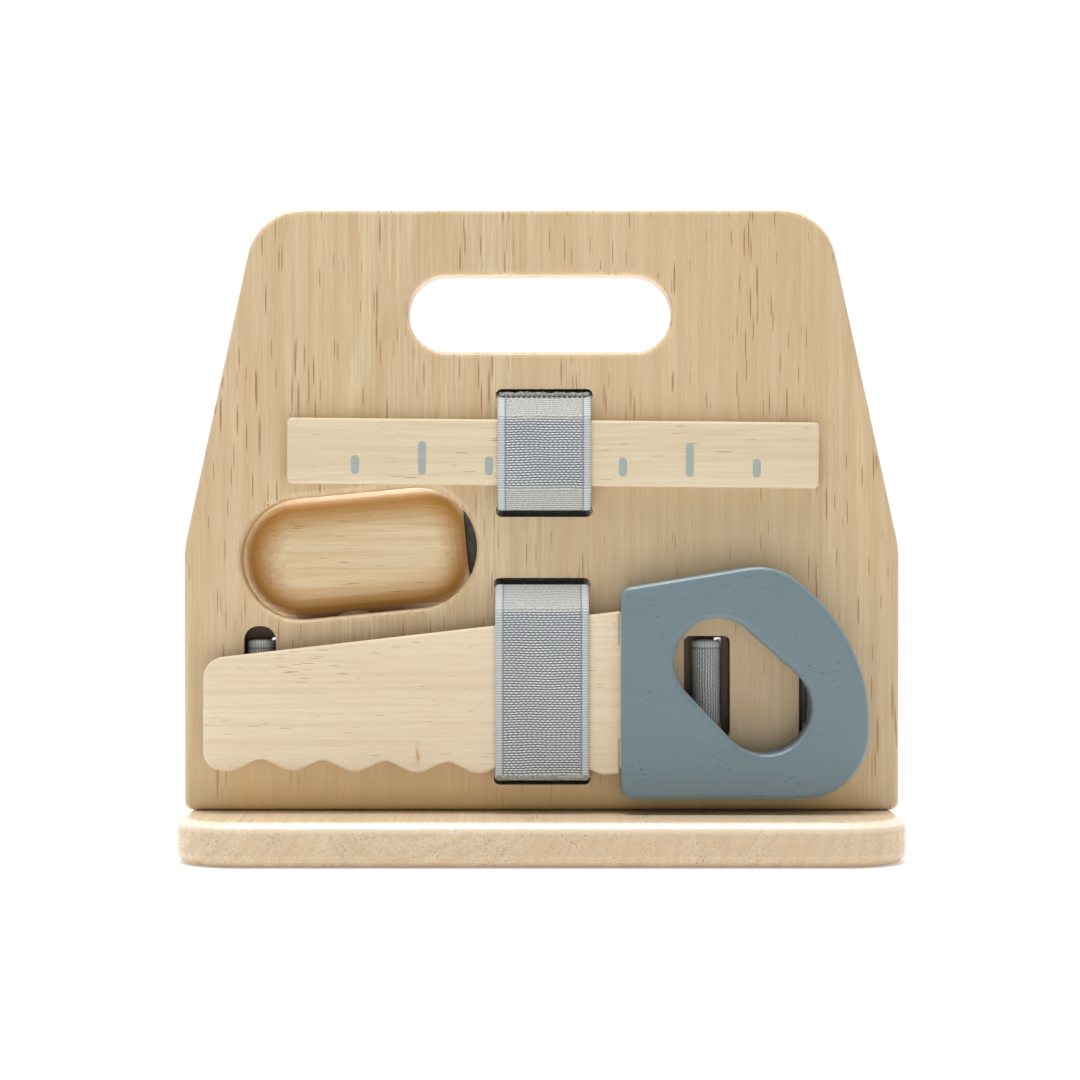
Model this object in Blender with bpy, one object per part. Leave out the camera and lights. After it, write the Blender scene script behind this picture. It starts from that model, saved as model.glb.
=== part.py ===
"""Wooden toy tool carrier: an upright board on a base plank, with elastic straps that hold a ruler and a
saw on its front, and a hammer and a screwdriver on its back. +Z is up and the front faces -Y."""

from math import acos, atan2, cos, pi, radians, sin, sqrt, tan

import bmesh
import bpy
from mathutils import Matrix, Vector

MM = 0.001
GAP = 0.3 * MM

# Board
BOARD_WIDTH = 270 * MM
BOARD_THICKNESS = 15 * MM
BOARD_TOP = 244.1 * MM
TOP_HALF_WIDTH = 107.3 * MM
SHOULDER_HEIGHT = 116 * MM
BOARD_EDGE = 2.2 * MM
FRONT = -BOARD_THICKNESS / 2
BACK = BOARD_THICKNESS / 2
CARRY_HOLE = (-0.6 * MM, 204.3 * MM, 99.6 * MM, 29.1 * MM)  # centre x, z, length, height

# Base plank
BASE_DEPTH = 100 * MM
BASE_HEIGHT = 16.5 * MM
BASE_CORNER = 25 * MM
BASE_EDGE = 4.4 * MM

# Fasteners between base and board
SCREW_PLACES = (-105 * MM, -35 * MM, 35 * MM, 105 * MM)
DOWEL_PLACES = (-70 * MM, 70 * MM)
SCREW_RADIUS, SCREW_HEAD_RADIUS, SCREW_LENGTH = 2.0 * MM, 4.0 * MM, 36 * MM
DOWEL_RADIUS, DOWEL_LENGTH = 4.0 * MM, 24 * MM

# Webbing
WEB_THICKNESS = 1.3 * MM
WEB_WIDTH = 35 * MM
SLOT_LENGTH, SLOT_HEIGHT = 36.6 * MM, 4.6 * MM

# Ruler and its strap
RULER_LENGTH, RULER_HEIGHT, RULER_THICKNESS = 200 * MM, 24.8 * MM, 5 * MM
RULER_X, RULER_Z, RULER_TILT = 4.3 * MM, 151.5 * MM, radians(0.54)
RULER_STRAP_X = 1.0 * MM
RULER_SLOTS = (173.5 * MM, 129.8 * MM)

# Saw and its strap
SAW_STRAP_X = 0.2 * MM
SAW_SLOTS = (102.2 * MM, 28.7 * MM)
SAW_HANDLE_THICKNESS = 16 * MM
SAW_CENTRE_Y = FRONT - GAP - SAW_HANDLE_THICKNESS / 2
BLADE_THICKNESS = 6 * MM
TOOTH_PITCH, TOOTH_DEPTH, TIP_DROP = 23.2 * MM, 3.9 * MM, 0.35 * MM
TENON_LENGTH = 16 * MM

# Hammer
HAMMER_X, HAMMER_Z, HAMMER_TILT = -69.1 * MM, 113.7 * MM, radians(5.5)
WINDOW_RADIUS, WINDOW_STRAIGHT = 23.0 * MM, 43.6 * MM
HAMMER_Y = 18.7 * MM
HEAD_HALF_HEIGHT, HEAD_HALF_DEPTH = 24.6 * MM, 16.6 * MM
HEAD_LEFT, HEAD_CUT, CAP_END = -48.2 * MM, 40.4 * MM, 49.5 * MM
GRIP_OFFSET, GRIP_RADIUS = -5.0 * MM, 10.0 * MM
HAMMER_SLOTS = (-106.3 * MM, -32.5 * MM)

# Screwdriver
DRIVER_X, DRIVER_RADIUS = 84.1 * MM, 12.5 * MM
DRIVER_Y = BACK + GAP + 0.6 * MM + DRIVER_RADIUS
DRIVER_SLOTS = (62.4 * MM, 105.8 * MM)

# Back straps, whose ends are rolled round pins that sit in pockets in the board
BACK_STRAP_BOTTOM = 45.8 * MM
PIN_RADIUS, PIN_Y = 3.8 * MM, -1.2 * MM
ROLL_RADIUS = PIN_RADIUS + GAP + WEB_THICKNESS / 2
POCKET_DEPTH = 12 * MM


def material(name, colour, roughness, metallic=0.0):
    made = bpy.data.materials.new(name)
    made.use_nodes = True
    shader = made.node_tree.nodes["Principled BSDF"]
    shader.inputs["Base Color"].default_value = (*colour, 1)
    shader.inputs["Roughness"].default_value = roughness
    shader.inputs["Metallic"].default_value = metallic
    return made


def fillet(before, corner, after, radius, steps):
    """The points of an arc of this radius that rounds a corner."""
    at = Vector(corner)
    back, ahead = (Vector(before) - at).normalized(), (Vector(after) - at).normalized()
    half = acos(max(-1, min(1, back.dot(ahead)))) / 2
    if radius <= 0 or half > pi / 2 - 1e-4:
        return [at]
    centre = at + (back + ahead).normalized() * radius / sin(half)
    start, end = at + back * radius / tan(half), at + ahead * radius / tan(half)
    first = atan2(start.y - centre.y, start.x - centre.x)
    sweep = (atan2(end.y - centre.y, end.x - centre.x) - first + pi) % (2 * pi) - pi
    angles = [first + sweep * i / steps for i in range(steps + 1)]
    return [centre + radius * Vector((cos(a), sin(a))) for a in angles]


def rounded(corners, steps=6):
    """A closed line through (u, v, radius) corners, each rounded by its radius."""
    points = []
    for i, (u, v, radius) in enumerate(corners):
        arc = fillet(corners[i - 1][:2], (u, v), corners[(i + 1) % len(corners)][:2], radius, steps)
        points += [p for p in arc if not points or (p - points[-1]).length > 1e-6]
    if (points[0] - points[-1]).length < 1e-6:
        points.pop()
    return points


def bar(u, v, length, height, radius, tilt=0.0, steps=8):
    """A rectangle with rounded corners about a centre. A radius of half its height makes a stadium."""
    turn = Matrix.Rotation(tilt, 2)
    corners = [(-1, -1), (1, -1), (1, 1), (-1, 1)]
    placed = [turn @ Vector((a * length / 2, b * height / 2)) + Vector((u, v)) for a, b in corners]
    return rounded([(*p, radius) for p in placed], steps)


def link(name, mesh, finish):
    made = bpy.data.objects.new(name, mesh)
    bpy.context.scene.collection.objects.link(made)
    if finish:
        mesh.materials.clear()
        mesh.materials.append(finish)
    return made


def smooth(mesh, angle=30):
    mesh.shade_smooth()
    mesh.set_sharp_from_angle(angle=radians(angle))


def cleaned(bm, name):
    bmesh.ops.remove_doubles(bm, verts=bm.verts, dist=1e-7)
    bmesh.ops.recalc_face_normals(bm, faces=bm.faces)
    mesh = bpy.data.meshes.new(name)
    bm.to_mesh(mesh)
    bm.free()
    return mesh


def plate(name, outlines, thickness, edge, finish, centre, upright=True, steps=2):
    """A flat board with rounded edges: the first outline is its rim and the others are holes in it."""
    curve = bpy.data.curves.new(name, "CURVE")
    curve.dimensions = "2D"
    curve.fill_mode = "BOTH"
    curve.extrude = thickness / 2 - edge
    curve.bevel_depth = edge
    curve.offset = -edge
    curve.bevel_resolution = steps
    for outline in outlines:
        spline = curve.splines.new("POLY")
        spline.points.add(len(outline) - 1)
        for point, (u, v) in zip(spline.points, outline):
            point.co = (u, v, 0, 1)
        spline.use_cyclic_u = True
    guide = bpy.data.objects.new(name + "_guide", curve)
    bpy.context.scene.collection.objects.link(guide)
    bpy.context.view_layer.update()
    mesh = bpy.data.meshes.new_from_object(guide.evaluated_get(bpy.context.evaluated_depsgraph_get()))
    bpy.data.objects.remove(guide)
    bm = bmesh.new()
    bm.from_mesh(mesh)
    stand = Matrix.Rotation(pi / 2, 4, "X") if upright else Matrix.Identity(4)
    bmesh.ops.transform(bm, matrix=Matrix.Translation(centre) @ stand, verts=bm.verts)
    mesh = cleaned(bm, name)
    smooth(mesh)
    return link(name, mesh, finish)


def prism(name, outline, low, high, finish, axis="Y"):
    """An outline extruded from low to high along an axis. (u, v) is (x, z), (x, y) or (y, z)."""
    place = {
        "Y": lambda p, depth: (p.x, depth, p.y),
        "Z": lambda p, depth: (p.x, p.y, depth),
        "X": lambda p, depth: (depth, p.x, p.y),
    }[axis]
    bm = bmesh.new()
    ends = [[bm.verts.new(place(p, depth)) for p in outline] for depth in (low, high)]
    bm.faces.new(ends[0])
    bm.faces.new(ends[1])
    for i in range(len(outline)):
        j = (i + 1) % len(outline)
        bm.faces.new((ends[0][i], ends[0][j], ends[1][j], ends[1][i]))
    mesh = cleaned(bm, name)
    if finish:
        smooth(mesh)
    return link(name, mesh, finish)


def turned(name, profile, sides, finish, matrix):
    """A solid of revolution about local Z from (radius, height) points, closed at both ends."""
    bm = bmesh.new()
    rings = []
    for radius, height in profile:
        turns = [2 * pi * i / sides for i in range(sides)]
        rings.append([bm.verts.new((radius * cos(a), radius * sin(a), height)) for a in turns])
    join_rings(bm, rings)
    bmesh.ops.transform(bm, matrix=matrix, verts=bm.verts)
    mesh = cleaned(bm, name)
    if finish:
        smooth(mesh)
    return link(name, mesh, finish)


def join_rings(bm, rings):
    count = len(rings[0])
    for lower, upper in zip(rings, rings[1:]):
        for i in range(count):
            j = (i + 1) % count
            bm.faces.new((lower[i], lower[j], upper[j], upper[i]))
    bm.faces.new(rings[0])
    bm.faces.new(rings[-1])


def cut(piece, cutter):
    cutter.hide_render = True
    cutter.display_type = "WIRE"
    modifier = piece.modifiers.new("cut_" + cutter.name, "BOOLEAN")
    modifier.operation = "DIFFERENCE"
    modifier.solver = "EXACT"
    modifier.object = cutter


def offset_line(points, distance, closed):
    """The line moved sideways by a distance, with mitred corners."""
    moved = []
    last = len(points) - 1
    for i, point in enumerate(points):
        before = points[i - 1] if closed or i else point
        after = points[(i + 1) % len(points)] if closed or i < last else point
        ways = [(b - a).normalized() for a, b in ((before, point), (point, after)) if (b - a).length > 0]
        normals = [Vector((-w.y, w.x)) for w in ways]
        mean = sum(normals, Vector((0, 0))).normalized()
        moved.append(point + mean * distance / max(0.5, mean.dot(normals[0])))
    return moved


def ribbon(name, points, low, high, finish, axis, closed):
    """Webbing of even thickness along a line, as wide as from low to high."""
    sides = [offset_line(points, d * WEB_THICKNESS / 2, closed) for d in (1, -1)]
    if not closed:
        return prism(name, sides[0] + sides[1][::-1], low, high, finish, axis)
    place = (lambda p, d: (d, p.x, p.y)) if axis == "X" else (lambda p, d: (p.x, p.y, d))
    bm = bmesh.new()
    loops = [[bm.verts.new(place(p, d)) for p in side] for side in sides for d in (low, high)]
    for a, b in ((0, 1), (1, 3), (3, 2), (2, 0)):
        for i in range(len(points)):
            j = (i + 1) % len(points)
            bm.faces.new((loops[a][i], loops[a][j], loops[b][j], loops[b][i]))
    mesh = cleaned(bm, name)
    smooth(mesh)
    return link(name, mesh, finish)


def make_board(finish):
    half = BOARD_WIDTH / 2
    bottom = BASE_HEIGHT + GAP
    rim = rounded([
        (-half, bottom, 3 * MM), (half, bottom, 3 * MM), (half, SHOULDER_HEIGHT, 45 * MM),
        (TOP_HALF_WIDTH, BOARD_TOP, 22 * MM), (-TOP_HALF_WIDTH, BOARD_TOP, 22 * MM),
        (-half, SHOULDER_HEIGHT, 45 * MM),
    ], 8)
    x, z, length, height = CARRY_HOLE
    carry_hole = bar(x, z, length, height, height / 2, steps=10)
    window = bar(HAMMER_X, HAMMER_Z, WINDOW_STRAIGHT + 2 * WINDOW_RADIUS, 2 * WINDOW_RADIUS,
                 WINDOW_RADIUS, HAMMER_TILT, 12)
    board = plate("back_board", [rim, carry_hole, window], BOARD_THICKNESS, BOARD_EDGE, finish, (0, 0, 0))
    strap_slots = [(RULER_STRAP_X, z) for z in RULER_SLOTS] + [(SAW_STRAP_X, z) for z in SAW_SLOTS]
    for i, (x, z) in enumerate(strap_slots):
        outline = bar(x, z, SLOT_LENGTH, SLOT_HEIGHT, SLOT_HEIGHT / 2, steps=4)
        cut(board, prism(f"strap_slot_{i}", outline, -20 * MM, 20 * MM, None))
    middle = BACK_STRAP_BOTTOM + WEB_WIDTH / 2
    for i, (x, side) in enumerate(zip(HAMMER_SLOTS + DRIVER_SLOTS, (1, -1, 1, -1))):
        if i == 0:
            outline = bar(x, middle - 0.9 * MM, 12.1 * MM, 47.8 * MM, 5.4 * MM, steps=6)
        else:
            outline = bar(x, middle, 17.4 * MM, 38.6 * MM, 2.2 * MM, steps=3)
        cut(board, prism(f"pocket_{i}", outline, -20 * MM, FRONT + POCKET_DEPTH, None))
        slit = bar(x + side * ROLL_RADIUS, middle, 3.0 * MM, WEB_WIDTH + 1.6 * MM, 0.8 * MM, steps=2)
        cut(board, prism(f"pocket_slit_{i}", slit, 0, 20 * MM, None))
    for i, x in enumerate(SCREW_PLACES):
        place = Matrix.Translation((x, 0, 0))
        profile = [(SCREW_RADIUS + GAP, 0), (SCREW_RADIUS + GAP, SCREW_LENGTH + 3 * MM)]
        cut(board, turned(f"screw_bore_{i}", profile, 12, None, place))
    for i, x in enumerate(DOWEL_PLACES):
        profile = [(DOWEL_RADIUS + GAP, 0), (DOWEL_RADIUS + GAP, BASE_HEIGHT + DOWEL_LENGTH / 2 + 1 * MM)]
        cut(board, turned(f"dowel_bore_{i}", profile, 16, None, Matrix.Translation((x, 0, 0))))


def make_base(finish):
    outline = bar(0, 0, BOARD_WIDTH, BASE_DEPTH, BASE_CORNER)
    base = plate("base_plank", [outline], BASE_HEIGHT, BASE_EDGE, finish,
                 (0, 0, BASE_HEIGHT / 2), upright=False, steps=2)
    for i, x in enumerate(SCREW_PLACES):
        bore, sink = SCREW_RADIUS + GAP, SCREW_HEAD_RADIUS + GAP
        profile = [(sink, -1 * MM), (sink, 1.2 * MM), (bore, 1.2 * MM + sink - bore), (bore, 30 * MM)]
        cut(base, turned(f"screw_hole_{i}", profile, 16, None, Matrix.Translation((x, 0, 0))))
    for i, x in enumerate(DOWEL_PLACES):
        profile = [(DOWEL_RADIUS + GAP, BASE_HEIGHT - DOWEL_LENGTH / 2 - 1 * MM), (DOWEL_RADIUS + GAP, 30 * MM)]
        cut(base, turned(f"dowel_hole_{i}", profile, 16, None, Matrix.Translation((x, 0, 0))))


def make_fasteners(metal, wood):
    for i, x in enumerate(SCREW_PLACES, 1):
        low = 0.9 * MM
        neck = low + 0.3 * MM + SCREW_HEAD_RADIUS - SCREW_RADIUS
        profile = [(SCREW_HEAD_RADIUS, low), (SCREW_HEAD_RADIUS, low + 0.3 * MM), (SCREW_RADIUS, neck),
                   (SCREW_RADIUS, low + SCREW_LENGTH - 4 * MM), (0.5 * MM, low + SCREW_LENGTH)]
        turned(f"base_screw_{i}", profile, 16, metal, Matrix.Translation((x, 0, 0)))
    for i, x in enumerate(DOWEL_PLACES, 1):
        low, high, ease = BASE_HEIGHT - DOWEL_LENGTH / 2, BASE_HEIGHT + DOWEL_LENGTH / 2, 0.8 * MM
        profile = [(DOWEL_RADIUS - ease, low), (DOWEL_RADIUS, low + ease),
                   (DOWEL_RADIUS, high - ease), (DOWEL_RADIUS - ease, high)]
        turned(f"base_dowel_{i}", profile, 16, wood, Matrix.Translation((x, 0, 0)))


def make_ruler(finish):
    outline = bar(0, 0, RULER_LENGTH, RULER_HEIGHT, 1.6 * MM, steps=3)
    centre_y = FRONT - GAP - RULER_THICKNESS / 2
    ruler = plate("ruler", [outline], RULER_THICKNESS, 0.9 * MM, finish, (0, 0, 0), steps=1)
    ruler.location = (RULER_X, centre_y, RULER_Z)
    ruler.rotation_euler = (0, RULER_TILT, 0)


def front_loop(name, x, slots, tool_front, tool_top, tool_bottom, finish):
    """A strap over a tool on the front, through its two slots, and round the back of the board."""
    over = tool_front - GAP - WEB_THICKNESS / 2
    reach = GAP + WEB_THICKNESS / 2
    top, bottom = slots[0] - 0.8 * MM, slots[1] + 0.8 * MM
    behind = BACK + reach
    path = rounded([
        (over, tool_bottom - reach, 1.6 * MM), (over, tool_top + reach, 1.6 * MM),
        (FRONT - 0.7 * MM, top, 1.4 * MM), (behind, top, 1.2 * MM),
        (behind, bottom, 1.2 * MM), (FRONT - 0.7 * MM, bottom, 1.4 * MM),
    ], 3)
    ribbon(name, path, x - WEB_WIDTH / 2, x + WEB_WIDTH / 2, finish, "X", True)


def tangent_angle(point, centre, radius, side):
    """The angle on a circle where a straight line from a point touches it, on the far side in +Y."""
    to = Vector(point) - Vector(centre)
    return atan2(to.y, to.x) + side * acos(radius / to.length)


def back_strap(name, slots, tool_x, tool_y, tool_radius, spread, finish):
    """A strap across the back round a tool, each end rolled round a pin in its pocket."""
    wrap = tool_radius + GAP + 0.2 * MM + WEB_THICKNESS / 2
    sides = []
    for slot, side in zip(slots, (1, -1)):
        roll = [Vector((slot + side * ROLL_RADIUS * cos(a), PIN_Y + ROLL_RADIUS * sin(a)))
                for a in (radians(-315 + 15 * i) for i in range(22))]
        leave = (slot + side * ROLL_RADIUS, BACK + 1.7 * MM)
        centre = Vector((tool_x - side * spread, tool_y))
        touch = (tangent_angle(leave, centre, wrap, -side) + pi / 2) % (2 * pi) - pi / 2
        turns = [touch + (pi / 2 - touch) * i / 8 for i in range(9)]
        arc = [centre + wrap * Vector((cos(a), sin(a))) for a in turns]
        bend = fillet(roll[-1], leave, arc[0], 1.4 * MM, 3)
        sides.append(roll + bend + arc)
    path = sides[0] + sides[1][::-1]
    path = [p for i, p in enumerate(path) if not i or (p - path[i - 1]).length > 1e-6]
    ribbon(name, path, BACK_STRAP_BOTTOM, BACK_STRAP_BOTTOM + WEB_WIDTH, finish, "Z", False)


def make_pins(finish):
    low, high, ease = BACK_STRAP_BOTTOM - 0.8 * MM, BACK_STRAP_BOTTOM + WEB_WIDTH + 0.3 * MM, 0.6 * MM
    profile = [(PIN_RADIUS - ease, low), (PIN_RADIUS, low + ease),
               (PIN_RADIUS, high - ease), (PIN_RADIUS - ease, high)]
    for i, x in enumerate(HAMMER_SLOTS + DRIVER_SLOTS, 1):
        turned(f"strap_pin_{i}", profile, 16, finish, Matrix.Translation((x, PIN_Y, 0)))


def teeth(first, count, height):
    """Scalloped saw teeth as (x, z, radius) corners: broad round tips and tighter hollows, left to right."""
    corners = []
    for i in range(count):
        x = first + TOOTH_PITCH * i
        tip = height - TIP_DROP * i
        corners.append((x, tip - 1.0 * MM, 9 * MM))
        corners.append((x + TOOTH_PITCH / 2, tip + TOOTH_DEPTH + 0.5 * MM, 5 * MM))
    return corners


def make_saw(wood, paint):
    left, tip_z = -126.4 * MM, 33.0 * MM
    joint = 29.6 * MM
    slope = 0.1144
    top_at_joint = 92.1 * MM
    top_left = top_at_joint - slope * (joint - left)
    tenon_top, tenon_bottom = top_at_joint - 12 * MM, 44 * MM
    blade_outline = rounded([
        (left, 34 * MM, 7 * MM),
        *teeth(-116.3 * MM, 6, tip_z),
        (joint - 7 * MM, 31.0 * MM, 4 * MM),
        (joint - GAP, 31.6 * MM, 0),
        (joint - GAP, tenon_bottom, 0), (joint + TENON_LENGTH, tenon_bottom, 1 * MM),
        (joint + TENON_LENGTH, tenon_top, 1 * MM), (joint - GAP, tenon_top, 0),
        (joint - GAP, top_at_joint, 0), (left, top_left, 8 * MM),
    ], 6)
    plate("saw_blade", [blade_outline], BLADE_THICKNESS, 0.9 * MM, wood, (0, SAW_CENTRE_Y, 0), steps=1)
    rim = rounded([
        (joint, 22.3 * MM, 4.5 * MM), (121.9 * MM, 22.3 * MM, 24.6 * MM), (121.9 * MM, 81.3 * MM, 66 * MM),
        (87.3 * MM, 110.2 * MM, 22.3 * MM), (joint, 100.7 * MM, 4 * MM),
    ], 9)
    upper, lower = (Vector((65.5, 73.5)) * MM, 16.3 * MM), (Vector((83.3, 56.4)) * MM, 17.4 * MM)
    apart = lower[0] - upper[0]
    along = atan2(apart.y, apart.x)
    lean = acos((upper[1] - lower[1]) / apart.length)
    grip = []
    for (centre, radius), start, end in ((upper, along + lean, along - lean + 2 * pi),
                                         (lower, along - lean, along + lean)):
        turns = [start + (end - start) * i / 14 for i in range(15)]
        grip += [centre + radius * Vector((cos(a), sin(a))) for a in turns]
    handle = plate("saw_handle", [rim, grip], SAW_HANDLE_THICKNESS, 1.9 * MM, paint, (0, SAW_CENTRE_Y, 0))
    socket = [Vector(p) for p in ((joint - 5 * MM, tenon_bottom - GAP), (joint + TENON_LENGTH + GAP, tenon_bottom - GAP),
                                  (joint + TENON_LENGTH + GAP, tenon_top + GAP), (joint - 5 * MM, tenon_top + GAP))]
    half = BLADE_THICKNESS / 2 + GAP
    cut(handle, prism("blade_socket", socket, SAW_CENTRE_Y - half, SAW_CENTRE_Y + half, None))


def oval(x, depth, height, sides=32, power=2.6):
    """One cross-section of the hammer head: a rounded rectangle in Y and Z at this X."""
    points = []
    for i in range(sides):
        a = 2 * pi * i / sides
        c, s = cos(a), sin(a)
        points.append((x, depth * abs(c) ** (2 / power) * (1 if c > 0 else -1),
                       height * abs(s) ** (2 / power) * (1 if s > 0 else -1)))
    return points


def lofted(name, sections, finish, matrix):
    bm = bmesh.new()
    join_rings(bm, [[bm.verts.new(p) for p in section] for section in sections])
    bmesh.ops.transform(bm, matrix=matrix, verts=bm.verts)
    mesh = cleaned(bm, name)
    smooth(mesh, 40)
    return link(name, mesh, finish)


def make_hammer(wood, grey):
    place = Matrix.Translation((HAMMER_X, HAMMER_Y, HAMMER_Z)) @ Matrix.Rotation(-HAMMER_TILT, 4, "Y")
    sections = []
    for i in range(1, 11):
        t = cos(pi / 2 * i / 10)
        x = HEAD_LEFT + HEAD_HALF_HEIGHT * (1 - t)
        swell = sqrt(1 - t * t)
        sections.append(oval(x, HEAD_HALF_DEPTH * max(swell, 0.12) ** 0.85, HEAD_HALF_HEIGHT * max(swell, 0.12)))
    shoulder = 13.5 * MM
    for i in range(7):
        t = i / 6
        drop = shoulder * (1 - sqrt(1 - (0.9 * t) ** 2))
        x = HEAD_CUT - shoulder * 0.9 + shoulder * 0.9 * t
        sections.append(oval(x, HEAD_HALF_DEPTH - 0.7 * drop, HEAD_HALF_HEIGHT - drop))
    head = lofted("hammer_head", sections, wood, place)
    grip_top = place @ Matrix.Translation((GRIP_OFFSET, 0, 0))
    socket = [(GRIP_RADIUS + GAP, -30 * MM), (GRIP_RADIUS + GAP, -4 * MM)]
    cut(head, turned("grip_socket", socket, 24, None, grip_top))
    end = CAP_END - HEAD_CUT
    cap = [oval(HEAD_CUT + GAP + d * MM, 9.6 * MM - r * MM, 14.8 * MM - r * MM)
           for d, r in ((0, 0), (end / MM - 2.6, 0), (end / MM - 1.2, 0.7), (end / MM - GAP / MM, 2.6))]
    lofted("hammer_cap", cap, grey, place)
    length = (HAMMER_Z - BASE_HEIGHT) / cos(HAMMER_TILT) - 2.2 * MM
    profile = [(2 * MM, -length), (6.5 * MM, -length + 1.2 * MM), (9 * MM, -length + 4 * MM),
               (GRIP_RADIUS, -length + 8 * MM), (GRIP_RADIUS, -4 * MM - GAP)]
    turned("hammer_handle", profile, 24, wood, grip_top)


def make_screwdriver(paint, wood, metal):
    low = BASE_HEIGHT + GAP
    place = Matrix.Translation((DRIVER_X, DRIVER_Y, low))
    r = DRIVER_RADIUS
    profile = [(r - 5 * MM, 0), (r - 1.6 * MM, 1.4 * MM), (r, 5 * MM), (r, 66 * MM),
               (r - 2 * MM, 71 * MM), (r - 5.5 * MM, 75 * MM)]
    handle = turned("screwdriver_handle", profile, 24, paint, place)
    bore = [(3.3 * MM, 55 * MM), (3.3 * MM, 90 * MM)]
    cut(handle, turned("shaft_bore", bore, 16, None, place))
    shaft = [(3 * MM, 55.3 * MM), (3 * MM, 118 * MM), (3 * MM, 128 * MM)]
    driver = turned("screwdriver_shaft", shaft, 16, metal, place)
    for i, side in enumerate((-1, 1)):
        wedge = [Vector((side * 0.9 * MM, 128.5 * MM)), Vector((side * 5 * MM, 128.5 * MM)),
                 Vector((side * 5 * MM, 112 * MM))]
        outline = [Vector((DRIVER_Y + p.x, low + p.y)) for p in wedge]
        cut(driver, prism(f"tip_flat_{i}", outline, DRIVER_X - 9 * MM, DRIVER_X + 9 * MM, None, "X"))


def main():
    for old in list(bpy.data.objects):
        bpy.data.objects.remove(old)
    board_wood = material("board_wood", (0.66, 0.50, 0.31), 0.55)
    base_wood = material("base_wood", (0.64, 0.50, 0.32), 0.55)
    light_wood = material("light_wood", (0.71, 0.58, 0.40), 0.55)
    head_wood = material("head_wood", (0.66, 0.49, 0.29), 0.5)
    blue_grey = material("blue_grey_paint", (0.17, 0.245, 0.275), 0.45)
    dark_grey = material("dark_grey_rubber", (0.07, 0.075, 0.065), 0.7)
    webbing = material("grey_webbing", (0.40, 0.42, 0.43), 0.85)
    zinc = material("zinc_steel", (0.62, 0.62, 0.60), 0.35, 1.0)

    make_board(board_wood)
    make_base(base_wood)
    make_fasteners(zinc, light_wood)
    make_ruler(light_wood)
    ruler_front = FRONT - GAP - RULER_THICKNESS
    slope = RULER_TILT * WEB_WIDTH / 2
    front_loop("ruler_strap", RULER_STRAP_X, RULER_SLOTS, ruler_front,
               RULER_Z + RULER_HEIGHT / 2 + slope, RULER_Z - RULER_HEIGHT / 2 - slope, webbing)
    make_saw(light_wood, blue_grey)
    front_loop("saw_strap", SAW_STRAP_X, SAW_SLOTS, SAW_CENTRE_Y - BLADE_THICKNESS / 2,
               91.9 * MM, 31.0 * MM, webbing)
    grip_x = HAMMER_X + GRIP_OFFSET * cos(HAMMER_TILT)
    drop = HAMMER_Z + GRIP_OFFSET * sin(HAMMER_TILT) - (BACK_STRAP_BOTTOM + WEB_WIDTH / 2)
    back_strap("hammer_strap", HAMMER_SLOTS, grip_x + drop * tan(HAMMER_TILT), HAMMER_Y,
               GRIP_RADIUS, WEB_WIDTH / 2 * tan(HAMMER_TILT), webbing)
    back_strap("screwdriver_strap", DRIVER_SLOTS, DRIVER_X, DRIVER_Y, DRIVER_RADIUS, 0, webbing)
    make_pins(light_wood)
    make_hammer(head_wood, dark_grey)
    make_screwdriver(blue_grey, light_wood, zinc)


main()
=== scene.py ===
"""Looks of the wooden toy tool carrier: materials, webbing, ruler marks, light, floor and camera."""

from math import acos, atan2, cos, pi, radians, sin, sqrt, tan

import bmesh
import bpy
from mathutils import Matrix, Vector, noise


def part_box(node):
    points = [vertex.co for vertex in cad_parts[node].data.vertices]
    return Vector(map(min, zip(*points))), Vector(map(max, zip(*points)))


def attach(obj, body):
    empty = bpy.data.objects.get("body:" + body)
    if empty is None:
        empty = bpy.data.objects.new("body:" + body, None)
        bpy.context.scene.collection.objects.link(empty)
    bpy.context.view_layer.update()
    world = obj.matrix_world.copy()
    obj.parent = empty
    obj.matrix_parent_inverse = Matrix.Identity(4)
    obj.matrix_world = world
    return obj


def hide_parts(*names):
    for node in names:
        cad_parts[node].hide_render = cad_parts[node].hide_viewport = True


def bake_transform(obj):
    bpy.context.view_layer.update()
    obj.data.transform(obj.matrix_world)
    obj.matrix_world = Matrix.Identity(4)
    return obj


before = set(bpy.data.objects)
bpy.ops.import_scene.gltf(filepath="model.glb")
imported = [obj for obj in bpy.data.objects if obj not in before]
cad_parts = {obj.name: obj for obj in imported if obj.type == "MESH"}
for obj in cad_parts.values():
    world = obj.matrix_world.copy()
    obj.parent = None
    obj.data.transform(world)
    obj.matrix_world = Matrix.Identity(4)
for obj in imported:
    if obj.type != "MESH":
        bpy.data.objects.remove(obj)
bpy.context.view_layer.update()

MM = 0.001
WEB_THICKNESS, WEB_WIDTH = 1.3 * MM, 35 * MM
ROW_PITCH, DASH = 0.95 * MM, 1.8 * MM
BOARD_LOW, BOARD_HIGH = (Vector(c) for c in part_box("back_board"))
FRONT, BACK = BOARD_LOW.y, BOARD_HIGH.y
RAISED = 0.3 * MM  # a strap's clearance over the tool or pin it goes round
RAW_END_OUT = 1.4 * MM  # how far the ruler strap's raw end stands in front of the board

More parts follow.
